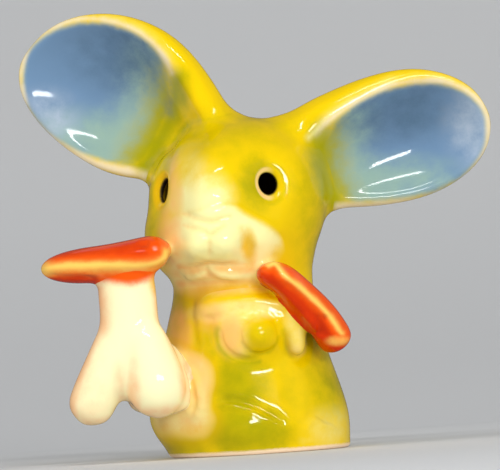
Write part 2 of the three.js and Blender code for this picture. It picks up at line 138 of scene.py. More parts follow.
# Arm, paw and ball on the chest
PAW = (-3.6, 21.7)
PAW_SIZE = (5.2, 4.5)
BALL = (-1.8, 21.6)
BALL_SIZE = (3.3, 3.4)
SLEEVE = [(-13.2, 29.4), (-13.7, 26.0), (-13.4, 22.0), (-13.0, 19.0)]
ARM_LEDGE = [
    (-12.8, 27.6), (-9.0, 28.1), (-4.8, 28.1), (-2.0, 28.0), (0.2, 27.5), (1.8, 26.8), (3.2, 25.4),
]
ARM_UNDERSIDE = [(-12.6, 24.9), (-10.4, 25.0), (-8.0, 25.4), (-5.0, 26.2), (-2.0, 26.2)]
FINGER = [(4.2, 24.4), (4.7, 21.4), (4.8, 18.8)]
FINGER_EDGE = [
    (2.5, 25.0), (2.5, 22.0), (2.9, 19.0), (3.7, 17.4), (4.8, 16.9), (5.9, 17.5), (6.6, 19.0),
    (6.8, 21.0), (6.6, 23.0),
]

# Feet, and the slip round the stem's foot
LEFT_INSTEP = (-5.0, 3.6)
LEFT_FOOT = [
    (-11.2, 8.9), (-9.0, 9.2), (-7.0, 9.0), (-4.8, 8.4), (-2.4, 7.1), (0.4, 5.3), (2.0, 3.2),
]
LEFT_FOOT_CREASE = 0.9  # how far the crease lies above the foot's edge
RIGHT_FOOT = [(4.6, 2.8), (6.2, 5.2), (7.4, 5.6), (8.8, 4.6), (10.2, 4.0), (11.6, 3.0)]
RIGHT_FOOT_CREASE = 0.8
SLIP_RIM = [
    (-15.0, 17.6), (-14.0, 15.0), (-13.4, 12.6), (-13.1, 10.2), (-13.8, 8.2), (-15.6, 6.6),
]
SLIP_GROOVE = [(-16.0, 17.8), (-15.0, 15.0), (-14.5, 12.0), (-14.4, 9.8), (-15.2, 8.0)]

# Toadstool caps: the lines of their ridges and edges
LEFT_CAP_CREST = [
    (-40.6, 35.8), (-38.0, 36.2), (-34.0, 36.2), (-28.0, 35.9), (-23.0, 35.5), (-20.0, 35.7),
    (-18.2, 36.5), (-17.6, 37.6),
]
LEFT_CAP_BRIM = [(-39.6, 34.7), (-36.0, 34.3), (-33.0, 34.1), (-30.6, 33.6)]
LEFT_CAP_BULB = (-18.6, 38.8)
LEFT_CAP_BULB_TOP = (-18.8, 38.8)  # which stays orange
LEFT_CAP_TIP = (-39.4, 35.9)
LEFT_CAP_DIP = [(-22.6, 39.6), (-21.4, 39.2), (-20.4, 39.4)]
RIGHT_CAP_CREST = [
    (0.6, 33.9), (1.9, 34.1), (3.5, 31.9), (6.0, 29.7), (8.0, 27.6), (9.6, 25.9), (11.0, 24.2),
    (12.4, 21.8), (13.0, 20.9),
]
RIGHT_CAP_FLUTE = [(1.6, 32.0), (4.0, 29.6), (6.6, 27.2), (8.6, 24.2), (9.6, 21.4), (9.9, 19.6)]
RIGHT_CAP_RIDGE = [(6.1, 25.0), (7.4, 23.7), (8.3, 22.2), (8.5, 21.0)]
RIGHT_CAP_NOTCH = [(10.8, 24.8), (9.8, 23.4), (9.0, 21.8), (8.8, 20.4)]
RIGHT_CAP_END = (12.3, 19.6)

# Dished ears. The blue was sprayed inside the dish and thins out at the crease of the root. The
# upper rim and the lower lip are pale. The blue is darker along the shade line and at the slate
# spot: a darker spray, with painted shade below the rim, at the root and high in the dish. At the
# thin_and_lit spot, low in the dish, it is thinner and lightened by painted light on the lower
# wall. It is misty at the bright spot. A spot is its centre and its size.
LEFT_EAR = {
    "dish": [
        (-42.3, 70.0), (-41.0, 75.5), (-38.0, 78.4), (-34.0, 80.0), (-30.0, 80.5), (-25.0, 79.6),
        (-20.0, 77.2), (-16.8, 74.0), (-14.8, 70.5), (-13.8, 66.5), (-14.4, 62.5), (-16.5, 58.5),
        (-18.6, 54.6), (-20.6, 52.8), (-25.0, 53.7), (-30.2, 55.3), (-35.2, 57.9), (-39.1, 61.4),
        (-41.7, 65.7),
    ],
    "crease": [(-12.4, 68.5), (-13.2, 65.0), (-14.6, 61.0), (-17.0, 57.0), (-19.6, 53.4)],
    "rim": [
        (-42.6, 68.0), (-42.4, 72.0), (-40.6, 76.6), (-37.0, 79.4), (-32.0, 81.0), (-27.0, 80.7),
        (-22.0, 79.0), (-18.2, 76.2), (-15.8, 72.8), (-14.6, 70.0),
    ],
    "lip": [
        (-42.8, 69.5), (-42.0, 64.8), (-39.3, 60.7), (-34.8, 57.1), (-30.2, 54.6), (-25.0, 52.9),
        (-20.8, 51.9),
    ],
    "shade": [(-15.2, 70.5), (-14.8, 67.0), (-15.4, 63.0)],
    "slate": ((-21.0, 74.0), (10.0, 6.0)),
    "thin_and_lit": ((-30.0, 58.5), (12.0, 5.0)),
    "bright": ((-38.5, 63.5), (5.0, 4.0)),
}
RIGHT_EAR = {
    "dish": [
        (10.8, 56.0), (13.4, 58.9), (16.4, 61.0), (20.0, 63.0), (25.0, 64.7), (30.0, 65.2),
        (35.0, 64.7), (38.8, 62.8), (41.2, 60.2), (42.2, 57.2), (41.6, 53.2), (39.2, 49.6),
        (35.4, 46.5), (30.2, 44.8), (24.0, 44.2), (18.0, 44.1), (13.2, 44.8), (11.4, 49.0),
        (10.4, 53.0),
    ],
    "crease": [(9.6, 57.0), (9.4, 53.0), (9.8, 49.0), (11.2, 45.4)],
    "rim": [
        (10.6, 57.0), (13.0, 59.2), (16.0, 61.3), (20.0, 63.5), (25.0, 65.2), (30.0, 65.7),
        (35.0, 65.2), (39.0, 63.2), (41.6, 60.4), (42.5, 57.4),
    ],
    "lip": [
        (42.8, 57.8), (42.4, 53.0), (40.0, 49.2), (36.4, 46.2), (31.2, 44.1), (25.0, 43.4),
        (18.0, 43.3), (14.0, 43.6),
    ],
    "shade": [(15.0, 58.6), (19.0, 60.8), (23.0, 62.2)],
    "slate": ((27.0, 60.0), (9.0, 4.6)),
    "thin_and_lit": ((24.0, 47.5), (11.0, 4.0)),
    "bright": ((40.0, 57.0), (4.5, 6.0)),
}


def colour(red, green, blue):
    """A display colour, 0 to 255, as the linear values that shaders take."""
    srgb = [v / 255 for v in (red, green, blue)]
    return [v / 12.92 if v <= 0.04045 else ((v + 0.055) / 1.055) ** 2.4 for v in srgb]


def soft(value, start, end):
    """0 at start, 1 at end, eased between."""
    t = np.clip((value - start) / (end - start), 0, 1)
    return t * t * (3 - 2 * t)


def moved(path, across=0.0, up=0.0):
    """A path moved on the front."""
    return [(x + across, z + up) for x, z in path]


def arc(centre, size, start, end, count=16):
    """Places on an oval, from one bearing to another."""
    turns = np.radians(np.linspace(start, end, count))
    return [(centre[0] + size[0] * math.cos(t), centre[1] + size[1] * math.sin(t)) for t in turns]


def curve(points, closed=False, steps=10):
    """A smooth line through points, as a dense row of points."""
    p = np.array(points, float)
    n = len(p)
    if closed:
        around = [p[[(i - 1) % n, i, (i + 1) % n, (i + 2) % n]] for i in range(n)]
    else:
        ends = np.vstack([2 * p[0] - p[1], p, 2 * p[-1] - p[-2]])
        around = [ends[i : i + 4] for i in range(n - 1)]
    t = np.linspace(0, 1, steps, endpoint=False)[:, None]
    rows = []
    for a, b, c, d in around:
        bend = (2 * a - 5 * b + 4 * c - d) * t**2 + (3 * b - a - 3 * c + d) * t**3
        rows.append(0.5 * (2 * b + (c - a) * t + bend))
    if not closed:
        rows.append(p[-1:])
    return np.vstack(rows)


def nearest(points, line, closed=False):
    """Distance from each point to a line of points, and how far along the line it is, 0 to 1."""
    ends = np.vstack([line[1:], line[:1]]) if closed else line[1:]
    starts = line if closed else line[:-1]
    best = np.full(len(points), np.inf, np.float32)
    along = np.zeros(len(points), np.float32)
    for i, (a, b) in enumerate(zip(starts, ends)):
        run = b - a
        t = np.clip((points - a) @ run / max(run @ run, 1e-9), 0, 1)
        gap = ((points - a - t[:, None] * run) ** 2).sum(1)
        closer = gap < best
        best[closer] = gap[closer]
        along[closer] = (i + t[closer]) / len(starts)
    return np.sqrt(best), along


def read(items, what, kind=np.float32):
    """Three numbers from each item of a mesh."""
    values = np.empty(3 * len(items), kind)
    items.foreach_get(what, values)
    return values.reshape(-1, 3)


# The shared grid: its first and last cells, its shape and the places along its axes
low = np.floor((np.array(cad_box[0]) / MM - MARGIN) / VOXEL).astype(int)
high = np.ceil((np.array(cad_box[1]) / MM + MARGIN) / VOXEL).astype(int)
shape = high - low + 1
axes = [(low[a] + np.arange(shape[a])) * VOXEL for a in range(3)]


def window(lowest, highest):
    """The grid's slices over a box."""
    first = np.clip(np.floor(np.array(lowest) / VOXEL).astype(int) - low, 0, shape - 1)
    last = np.clip(np.ceil(np.array(highest) / VOXEL).astype(int) - low + 1, 1, shape)
    return tuple(slice(a, b) for a, b in zip(first, last))


def node_window(name, margin):
    """The grid's slices round a CAD node."""
    lowest, highest = (np.array(c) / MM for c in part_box(name))
    return window(lowest - margin, highest + margin)


def first_cell(part):
    """The cell in which the grid's slices start."""
    return tuple(int(low[a] + part[a].start) for a in range(3))


def blurred(field, sigma):
    """The field averaged over a ball of about sigma."""
    reach = int(math.ceil(STROKE_REACH * sigma / VOXEL))
    taps = np.exp(-0.5 * (np.arange(-reach, reach + 1) * VOXEL / sigma) ** 2)
    taps = (taps / taps.sum()).astype(np.float32)
    for axis in range(3):
        padding = [(reach, reach) if a == axis else (0, 0) for a in range(3)]
        padded = np.pad(field, padding, mode="edge")
        total = np.zeros_like(field)
        for k, tap in enumerate(taps):
            cut = [slice(None)] * 3
            cut[axis] = slice(k, k + field.shape[axis])
            total += tap * padded[tuple(cut)]
        field = total
    return field


def node_field(name):
    """Signed distance to a CAD node on the shared grid, softened."""
    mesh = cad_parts[name].data
    mesh.calc_loop_triangles()
    grid = vdb.FloatGrid.createLevelSetFromPolygons(
        read(mesh.vertices, "co") / MM,
        triangles=read(mesh.loop_triangles, "vertices", np.int32).astype(np.uint32),
        transform=vdb.createLinearTransform(voxelSize=VOXEL),
        halfWidth=BAND / VOXEL,
    )
    part = node_window(name, BAND)
    near = np.empty([s.stop - s.start for s in part], np.float32)
    grid.copyToArray(near, ijk=first_cell(part))
    field = np.full(shape, BAND, np.float32)
    field[part] = blurred(near, SOFTNESS[name])
    return field


def luted(a, b, fillet):
    """The union of two fields, with a fillet where they meet."""
    meet = np.maximum(fillet - np.abs(a - b), 0)
    return np.minimum(a, b) - meet * meet / (4 * fillet)


def from_eye(x, y, z, bearing):
    """How far from the line of an eye hole, where 1 is the edge of the hole."""
    turn = math.radians(bearing)
    x, y = x - EYE_AXIS[0], y - EYE_AXIS[1]
    across = x * math.cos(turn) + y * math.sin(turn)
    out = x * math.sin(turn) - y * math.cos(turn)
    far = np.hypot(across / EYE_SIZE[0], (z - EYE_AXIS[2]) / EYE_SIZE[1]) * 2
    return np.where(out > EYE_START, far, FAR_OFF)


class Clay:
    """The whole figure's field, and the tools that model it."""

    def __init__(self, field):
        self.field = field
        solid = field < 0
        self.front = np.where(solid.any(1), axes[1][solid.argmax(1)], np.nan)

    def on_front(self, places):
        """Places across and up, set on the frontmost surface."""
        places = np.array(places, float)
        i = np.clip(np.rint(places[:, 0] / VOXEL).astype(int) - low[0], 0, shape[0] - 1)
        k = np.clip(np.rint(places[:, 1] / VOXEL).astype(int) - low[2], 0, shape[2] - 1)
        y = self.front[i, k]
        known = ~np.isnan(y)
        y = np.interp(np.arange(len(y)), np.flatnonzero(known), y[known])
        return np.column_stack([places[:, 0], y, places[:, 1]])

    def around(self, line, reach):
        """The grid's slices round a line, and the points there."""
        part = window(line.min(0) - reach, line.max(0) + reach)
        mesh = np.meshgrid(*(axes[a][part[a]] for a in range(3)), indexing="ij")
        return part, np.stack([m.ravel() for m in mesh], 1).astype(np.float32)

    def add(self, part, thickness):
        """Clay or glaze put on, or taken off where the thickness is negative."""
        self.field[part] -= thickness.reshape(self.field[part].shape)

    def press(self, path, width, depth, fade=0.0):
        """A groove along a path on the front, or a ridge where the depth is negative."""
        line = self.on_front(curve(path))
        part, points = self.around(line, STROKE_REACH * width)
        gap, along = nearest(points, line.astype(np.float32))
        stroke = depth * np.exp(-((gap / width) ** 2))
        if fade:
            stroke *= soft(np.minimum(along, 1 - along), 0, fade)
        self.add(part, -stroke)

    def around_spot(self, place, size, deep):
        """The grid's slices round a spot on the front, and how much of the spot is there."""
        spot = self.on_front([place])
        spread = np.array([size[0], deep, size[1]])
        part, points = self.around(spot, SPOT_REACH * spread)
        return part, np.exp(-(((points - spot[0]) / spread) ** 2).sum(1))

    def swell(self, place, size, height, deep=4.0):
        """A rounded swelling on the front."""
        part, weight = self.around_spot(place, size, deep)
        self.add(part, height * weight)

    def soften(self, place, size, sigma, deep=5.0):
        """Glaze that fills the small corners round a place on the front."""
        part, weight = self.around_spot(place, size, deep)
        near = self.field[part]
        self.field[part] = near + weight.reshape(near.shape) * (blurred(near, sigma) - near)


def model_face(clay):
    """The crease of the ear, the puffs, the cheek with its fold, the nose and the mouth."""
    clay.press(EAR_CREASE, width=1.3, depth=0.35, fade=0.3)
    clay.soften(LOWER_LIP, size=(9.0, 2.6), sigma=1.1)
    clay.swell(LEFT_PUFF, size=(2.2, 2.6), height=1.0)
    clay.swell(RIGHT_PUFF, size=(2.4, 2.6), height=1.1)
    clay.press(CHEEK_CREST, width=0.8, depth=-0.5, fade=0.35)
    clay.press(FOLD_RIDGE, width=0.9, depth=-0.3, fade=0.3)
    clay.press(OCHRE_FOLD, width=1.6, depth=0.25, fade=0.4)
    clay.press(NOSE_UPPER, width=0.6, depth=0.42, fade=0.2)
    clay.press(NOSE_LOWER, width=0.6, depth=0.42, fade=0.2)
    clay.press(PHILTRUM, width=0.6, depth=0.35, fade=0.25)
    clay.press(MOUTH, width=0.8, depth=0.4, fade=0.3)
    clay.press(LEFT_LIP, width=0.9, depth=-0.45, fade=0.35)
    clay.press(RIGHT_LIP, width=0.9, depth=-0.5, fade=0.35)
    clay.press(LIP_PARTING, width=0.6, depth=0.25, fade=0.3)
    clay.press(CHIN_LINE, width=1.2, depth=0.3, fade=0.35)


def glaze_eyes(clay):
    """Glaze that rolls over the edges of the eye holes."""
    part, points = clay.around(np.array([EYE_AXIS]), EYE_ROOM)
    for bearing in EYE_HOLES.values():
        off_roll = (from_eye(*points.T, bearing) - EYE_ROLL) / EYE_ROLL_WIDTH
        clay.add(part, EYE_GLAZE * np.exp(-(off_roll**2)))


def model_chest(clay):
    """The sleeve, the paw with the ball in it, the arm's ledge and the finger."""
    clay.press(SLEEVE, width=0.8, depth=0.22, fade=0.3)
    clay.press(ARM_UNDERSIDE, width=0.7, depth=0.4, fade=0.25)
    clay.soften(PAW, size=(5.0, 4.4), sigma=0.8)
    clay.swell(PAW, size=(4.4, 3.8), height=0.5)
    clay.press(arc(PAW, PAW_SIZE, 150, 310), width=0.6, depth=0.5, fade=0.25)
    clay.press(arc(PAW, PAW_SIZE, -40, 140), width=0.8, depth=0.35, fade=0.25)
    clay.press(arc(BALL, BALL_SIZE, 60, 340), width=0.75, depth=0.5, fade=0.2)
    clay.swell(BALL, size=(2.4, 2.5), height=1.0)
    clay.press(ARM_LEDGE, width=0.7, depth=-0.55, fade=0.2)
    clay.press(FINGER, width=1.7, depth=-0.8)
    clay.press(FINGER_EDGE, width=1.1, depth=0.4, fade=0.25)


def model_feet(clay):
    """The feet, each with a crease above its edge, and the slip round the stem's foot."""
    clay.swell(LEFT_INSTEP, size=(6.0, 4.0), height=0.6)
    clay.press(moved(LEFT_FOOT, up=LEFT_FOOT_CREASE), width=0.8, depth=0.5, fade=0.2)
    clay.press(LEFT_FOOT, width=0.6, depth=-0.4, fade=0.2)
    clay.press(moved(RIGHT_FOOT, up=RIGHT_FOOT_CREASE), width=0.8, depth=0.35, fade=0.25)
    clay.press(RIGHT_FOOT, width=0.6, depth=-0.35, fade=0.25)
    clay.press(SLIP_GROOVE, width=0.5, depth=0.4, fade=0.2)
    clay.press(SLIP_RIM, width=0.6, depth=-0.45, fade=0.2)


def model_caps(clay):
    """The ridges, flutes and notches of the two toadstool caps."""
    clay.press(LEFT_CAP_CREST, width=0.7, depth=-0.3, fade=0.1)
    clay.press(LEFT_CAP_BRIM, width=0.45, depth=0.5, fade=0.15)
    clay.press(LEFT_CAP_DIP, width=0.8, depth=0.5, fade=0.3)
    clay.swell(LEFT_CAP_BULB, size=(1.7, 1.7), height=0.5)
    clay.press(RIGHT_CAP_CREST, width=0.7, depth=-0.4, fade=0.1)
    clay.press(RIGHT_CAP_FLUTE, width=0.9, depth=0.6, fade=0.2)
    clay.press(RIGHT_CAP_RIDGE, width=0.6, depth=-0.8, fade=0.3)
    clay.press(RIGHT_CAP_NOTCH, width=0.7, depth=0.8, fade=0.3)


def glazed_figure(fields):
    """The field of the pieces luted together, with the face and the small relief modelled in."""
    head = luted(fields["head_shell"], fields["left_ear"] - EAR_EDGE, EAR_FILLET)
    head = luted(head, fields["right_ear"] - EAR_EDGE, EAR_FILLET)
    whole = luted(fields["body_shell"], head, NECK_FILLET)
    whole = luted(whole, fields["arm"], CHEST_FILLET)
    whole = luted(whole, fields["paw"], CHEST_FILLET)
    toadstool = luted(fields["left_cap"] - CAP_EDGE, fields["left_stem"], STEM_FILLET)
    whole = luted(whole, toadstool, CAP_FILLET)
    whole = luted(whole, fields["right_cap"] - CAP_EDGE, CAP_FILLET)
    clay = Clay(whole)
    model_face(clay)
    glaze_eyes(clay)
    model_chest(clay)
    model_feet(clay)
    model_caps(clay)
    up = axes[2][None, None, :]
    foot_edge = (FOOT_EDGE * np.exp(-((up / FOOT_EDGE_HEIGHT) ** 2))).astype(np.float32)
    return np.maximum(clay.field - foot_edge, -up.astype(np.float32))


def largest_shell(points, quads):
    """The quads of the largest connected shell, with its points renumbered."""
    parent = np.arange(len(points))
    while True:
        least = parent[quads].min(1)
        before = parent.copy()
        for corner in range(4):
            np.minimum.at(parent, quads[:, corner], least)
        parent = parent[parent]
        if (parent == before).all():
            break
    group = parent[quads[:, 0]]
    names, counts = np.unique(group, return_counts=True)
    quads = quads[group == names[counts.argmax()]]
    used, renumbered = np.unique(quads, return_inverse=True)
    return points[used], renumbered.reshape(-1, 4)


def smoothed(points, quads):
    """The points, each drawn halfway to the middle of its neighbours: the grid's ripples go."""
    ends = np.concatenate([quads, np.roll(quads, -1, 1)], 1).ravel()
    others = np.concatenate([np.roll(quads, -1, 1), quads], 1).ravel()
    count = np.bincount(ends, minlength=len(points))
    for _ in range(SMOOTHING):
        sums = [np.bincount(ends, points[others, a], len(points)) for a in range(3)]
        points = (points + np.column_stack(sums) / count[:, None]) / 2
    return points


def mesh_of(name, field, part):
    """A closed mesh of a field's zero surface, in metres."""
    grid = vdb.FloatGrid(BAND)
    grid.transform = vdb.createLinearTransform(voxelSize=VOXEL)
    grid.copyFromArray(field, ijk=first_cell(part))
    points, quads = grid.convertToQuads(isovalue=0.0)
    points, quads = largest_shell(points.astype(np.float64), quads.astype(np.int64))
    points = smoothed(points, quads)
    a, b, c, d = (points[quads[:, i]] for i in range(4))
    volume = np.einsum("ij,ij->i", a, np.cross(b, c) + np.cross(c, d)).sum()
    if volume < 0:
        quads = quads[:, ::-1]
    mesh = bpy.data.meshes.new(name)
    mesh.from_pydata((points * MM).tolist(), [], quads.tolist())
    mesh.shade_smooth()
    return mesh


def part_figure(figure, fields):
    """Parts the figure along its seams, into one mesh for each CAD node."""
    first = np.full(shape, BAND * 2, np.float32)
    second = first.copy()
    for field in fields.values():
        second = np.minimum(second, np.maximum(first, field))
        first = np.minimum(first, field)
    meshes = {}
    for name, field in fields.items():
        part = node_window(name, MARGIN)
        own = field[part]
        rival = np.where(own <= first[part], second[part], first[part])
        across = (own - rival) / 2
        dip = CAP_DIP if name.endswith("cap") else SEAM_DIP
        dip = dip * soft(across, -SEAM_OVERLAP, SEAM_OVERLAP)
        cut = np.maximum(figure[part] + dip, across - SEAM_OVERLAP)
        meshes[name] = mesh_of(name, np.ascontiguousarray(cut, np.float32), part)
    return meshes


class Airbrush:
    """Sprays stains, painted shade and painted highlights onto a mesh: each is an attribute, 0 to
    1.
    """

    def __init__(self, mesh):
        self.mesh = mesh
        self.place = read(mesh.vertices, "co") / MM
        self.normal = read(mesh.vertex_normals, "vector")
        self.x, self.y, self.z = self.place.T
        self.flat = self.place[:, [0, 2]]
        self.front = self.facing(-0.35, 0.1)

    def facing(self, start, end):
        """How far the surface is turned to the front."""
        return soft(-self.normal[:, 1], start, end)

    def spot(self, centre, size, edge):
        """An oval spot, with an edge that is soft over a share of its size."""
        far = np.hypot((self.x - centre[0]) / size[0], (self.z - centre[1]) / size[1])
        return soft(far, 1 + edge, 1 - edge)

    def stroke(self, path, width, edge):
        """A stroke along a path, with soft edges."""
        gap, _ = nearest(self.flat, curve(path).astype(np.float32))
        return soft(gap, width + edge, width - edge)

    def spots(self, rows):
        return [strength * self.spot(*row) for strength, *row in rows]

    def strokes(self, rows):
        return [strength * self.stroke(*row) for strength, *row in rows]

    def inside(self, outline):
        """Distance inside a closed outline, negative outside it."""
        line = curve(outline, closed=True).astype(np.float32)
        gap, _ = nearest(self.flat, line, closed=True)
        odd = np.zeros(len(gap), bool)
        for (x0, z0), (x1, z1) in zip(line, np.roll(line, -1, 0)):
            if z0 != z1:
                between = (self.z > min(z0, z1)) & (self.z <= max(z0, z1))
                odd ^= between & (self.x < x0 + (self.z - z0) * (x1 - x0) / (z1 - z0))
        return np.where(odd, gap, -gap)

    def spray(self, **stains):
        for name, amount in stains.items():
            layer = self.mesh.attributes.new(name, "FLOAT", "POINT")
            layer.data.foreach_set("value", np.clip(amount, 0, 1).astype(np.float32))


# Cream of the bridge and the muzzle
BRIDGE = [
    (-11.4, 53.4), (-8.8, 51.6), (-7.0, 49.0), (-6.2, 46.4), (-9.0, 43.6), (-14.0, 43.0),
    (-15.6, 46.0), (-15.0, 49.6), (-13.6, 52.6),
]
MUZZLE = [
    (-8.4, 45.9), (-6.6, 45.6), (-5.0, 45.1), (-3.4, 43.9), (-1.6, 42.7), (0.6, 41.3), (2.3, 39.8),
    (3.0, 38.2), (2.2, 36.2), (0.4, 33.8), (-2.0, 31.4), (-7.0, 30.0), (-15.0, 30.2),
    (-17.6, 33.0), (-17.8, 37.0), (-17.2, 40.5), (-16.4, 43.4), (-12.0, 46.0),
]
# Cream and peach of the slip round the stem's foot
STEM_PATCH = [
    (-17.0, 21.0), (-14.4, 19.6), (-12.2, 18.4), (-10.7, 16.4), (-10.5, 13.8), (-11.2, 11.2),
    (-11.4, 8.8), (-11.2, 7.0), (-12.0, 5.2), (-13.4, 4.0), (-17.3, 4.1), (-22.0, 5.0),
    (-27.0, 8.0), (-27.0, 18.0), (-20.0, 21.0),
]

# Stains of the clay, with painted shade and painted highlights among them where marked. A spot has
# a strength, a centre, a size and the softness of its edge, and a stroke has a strength, a path, a
# width and the softness of its edges.
OLIVE_SPOTS = [
    (0.8, (-6.0, 12.0), (5.0, 6.5), 0.7),  # left side of the belly
    (0.2, (5.0, 12.0), (7.0, 7.0), 0.7),  # right side of the belly
    (0.6, (11.0, 14.0), (4.4, 8.0), 0.7),  # right flank: olive spray, with painted shade where it turns away
    (0.85, (-5.4, 4.4), (8.0, 4.6), 0.6),  # left foot
    (0.35, (-11.6, 19.0), (2.2, 4.4), 0.6),  # beside the stem
    (0.6, (-16.0, 2.0), (5.0, 2.4), 0.6),  # below the stem
    (0.8, (-17.6, 27.6), (3.2, 5.0), 0.5),  # painted shadow of the stem and left cap on the body's side
    (0.7, (7.6, 19.8), (1.8, 2.8), 0.6),  # painted shade between the finger and the right cap
    (0.7, (-0.8, 49.4), (2.8, 4.6), 0.7),  # painted shade in the socket beside the right eye
    (0.5, (-20.6, 45.0), (2.6, 7.0), 0.6),  # left cheek
    (0.25, (-3.0, 58.5), (11.0, 4.6), 0.6),  # forehead
]
# Painted shade in the groove below the ball, beside the finger and along the crease of the left
# ear's root
OLIVE_STROKES = [
    (0.6, arc(BALL, (3.4, 3.5), 200, 350), 0.2, 0.8),
    (0.45, FINGER_EDGE[1:4], 0.2, 0.9),
    (0.8, EAR_CREASE[3:], 0.8, 1.6),
    (0.5, EAR_CREASE[:4], 0.2, 1.4),
]
# Olive spray, with painted shade, along the creases of the ears' roots
EAR_ROOTS = [
    (0.95, moved(LEFT_EAR["crease"], across=-1.3), 2.0, 2.0),
    (0.95, moved(RIGHT_EAR["crease"], across=2.2), 2.5, 2.2),
]
CREAM_SPOTS = [
    (0.28, (10.4, 3.8), (3.6, 2.8), 0.95),  # painted highlights on the right foot
    (0.48, (-6.0, 26.0), (8.0, 1.9), 0.35),  # arm
]
CREAM_STROKES = [
    (0.25, [(5.0, 2.0), (9.0, 2.2), (13.0, 2.6)], 0.1, 1.5),  # painted highlight along the bottom of the right foot
    (0.8, [(9.4, 56.6), (11.0, 58.0), (13.4, 60.2), (16.4, 62.0)], 0.1, 1.2),  # painted highlight along the right ear's root
]
PEACH_SPOTS = [
    (0.65, (-16.8, 41.0), (1.9, 4.6), 0.7),  # left side of the muzzle
    (0.5, (-15.4, 49.0), (1.3, 6.5), 0.6),  # beside the left eye
    (0.6, (-7.0, 30.6), (9.0, 1.3), 0.6),  # peach, with painted shade under the chin
    (0.85, (-8.0, 33.4), (8.0, 1.3), 0.7),  # lips
    (0.7, (-16.4, 23.0), (2.2, 5.0), 0.6),  # above the stem's foot
    (0.5, (-10.6, 25.6), (2.8, 2.6), 0.6),  # where the arm starts
]
PEACH_STROKES = [
    (0.75, MOUTH, 0.5, 0.9),
    (0.45, NOSE_UPPER, 0.2, 0.7),
    (0.45, NOSE_LOWER, 0.2, 0.7),
    (0.35, PHILTRUM, 0.2, 0.7),
    # peach and painted shade in the groove below the lower lip
    (0.85, CHIN_LINE, 0.7, 1.4),
]
OCHRE_SPOTS = [
    (0.9, (-2.7, 37.4), (1.3, 3.0), 0.6),  # fold of the cheek
    (0.85, (-5.0, 29.4), (9.0, 1.6), 0.7),  # neck
]
OCHRE_STROKES = [(0.5, OCHRE_FOLD, 0.3, 0.9)]
LIPS = [(1.0, LEFT_LIP, 0.4, 0.8), (1.0, RIGHT_LIP, 0.4, 0.8)]
UNDER_PAW = arc(PAW, (5.9, 5.2), 165, 285)
PAW_CREAM = ((-6.0, 22.2), (3.0, 3.4), 0.6)
PAW_PEACH = ((-6.8, 21.8), (2.4, 3.2), 0.7)


def strongest(*stains):
    return np.maximum.reduce(stains)


def shade_behind_eyes(brush):
    """Painted shade: dark put on the inside's back wall, where it is seen through the eye holes."""
    back = soft(brush.y, 5.0, 7.0) * brush.facing(0.0, 0.4)
    height = soft(np.abs(brush.z - EYE_AXIS[2]), 4.4, 3.4)
    width = soft(np.abs(brush.x - EYE_AXIS[0]), 12.6, 11.6)
    return back * height * width


def clay_stains_and_painted_light(brush):
    """Stains, painted shade and painted highlights that run on from one lime or cream piece to the
    next.
    """
    x, z, front = brush.x, brush.z, brush.front
    left_eye, right_eye = (from_eye(x, brush.y, z, b) for b in EYE_HOLES.values())
    lid = soft(np.abs(right_eye - 1.16), 0.26, 0.06) * soft(x, 2.8, 0.6)

    # The muzzle ends sharply along the cheek's crest and the slip softly at the floor
    muzzle_edge = 2.4 - 1.5 * brush.stroke(CHEEK_CREST, 1.6, 1.4)
    muzzle = soft(brush.inside(MUZZLE) / muzzle_edge, -0.7, 0.9)
    bridge = soft(brush.inside(BRIDGE), -3.0, 3.0)
    lips = strongest(*brush.strokes(LIPS))
    from_patch = brush.inside(STEM_PATCH) / (1.0 + 1.4 * soft(z, 10.0, 5.5))
    turned = brush.facing(0.1, 0.5)
    patch = turned * soft(from_patch, -0.5, 0.7)
    patch_edge = turned * soft(from_patch, -1.6, 0.0) * soft(from_patch, 1.4, 0.2)

    ball = brush.spot(BALL, (3.1, 3.2), 0.6)
    under_paw = brush.stroke(UNDER_PAW, 0.4, 0.9)
    on_paw = (1 - ball) * (1 - under_paw)
    finger = brush.stroke(FINGER, 1.2, 1.0)
    return {
        "olive": strongest(
            *brush.spots(OLIVE_SPOTS),
            *brush.strokes(OLIVE_STROKES),
            *(front * root for root in brush.strokes(EAR_ROOTS)),
            # painted shade in the groove under the paw
            0.9 * under_paw,
            0.22 * ball,
            # painted shade round the right eye's socket
            0.3 * soft(np.abs(right_eye - 1.6), 0.4, 0.1),
            0.45 * soft(x, 3.0, 11.0) * soft(z, 30, 36) * soft(z, 57, 50),  # right cheek: olive spray, with painted shade where the head turns away
            # painted shade, over olive spray, on the sides that turn away from the front
            0.6 * (1 - front),
        ),
        "cream": front * strongest(
            *brush.spots(CREAM_SPOTS),
            *brush.strokes(CREAM_STROKES),
            muzzle,
            bridge * (0.35 + 0.65 * soft(z, 53.0, 46.5)),
            patch * (0.6 + 0.35 * soft(z, 15.0, 6.0)),
            0.35 * finger,
            0.5 * brush.spot(*PAW_CREAM) * on_paw,
            0.8 * lid,
        ),
        "peach": front * (1 - 0.85 * lips) * strongest(
            *brush.spots(PEACH_SPOTS),
            *brush.strokes(PEACH_STROKES),
            patch * (0.3 + 0.2 * soft(x, -12.0, -15.0)),
            0.3 * finger * soft(z, 21.0, 17.5),
            0.85 * brush.spot(*PAW_PEACH) * on_paw,
            0.6 * lid,
        ),
        "ochre": front * strongest(
            *brush.spots(OCHRE_SPOTS),
            *brush.strokes(OCHRE_STROKES),
            0.4 * patch_edge,
            0.8 * soft(np.abs(left_eye - 1.25), 0.6, 0.2),
        ),
        "bare": soft(z, 0.95, 0.6),
        # The eye holes' walls darkened with a dark stain and painted shade, and painted shade on
        # the wall behind them
        "eye": strongest(
            soft(left_eye, 1.08, 0.96), soft(right_eye, 1.0, 0.9), shade_behind_eyes(brush),
        ),
    }


def paint_clay(brush):
    brush.spray(**clay_stains_and_painted_light(brush))


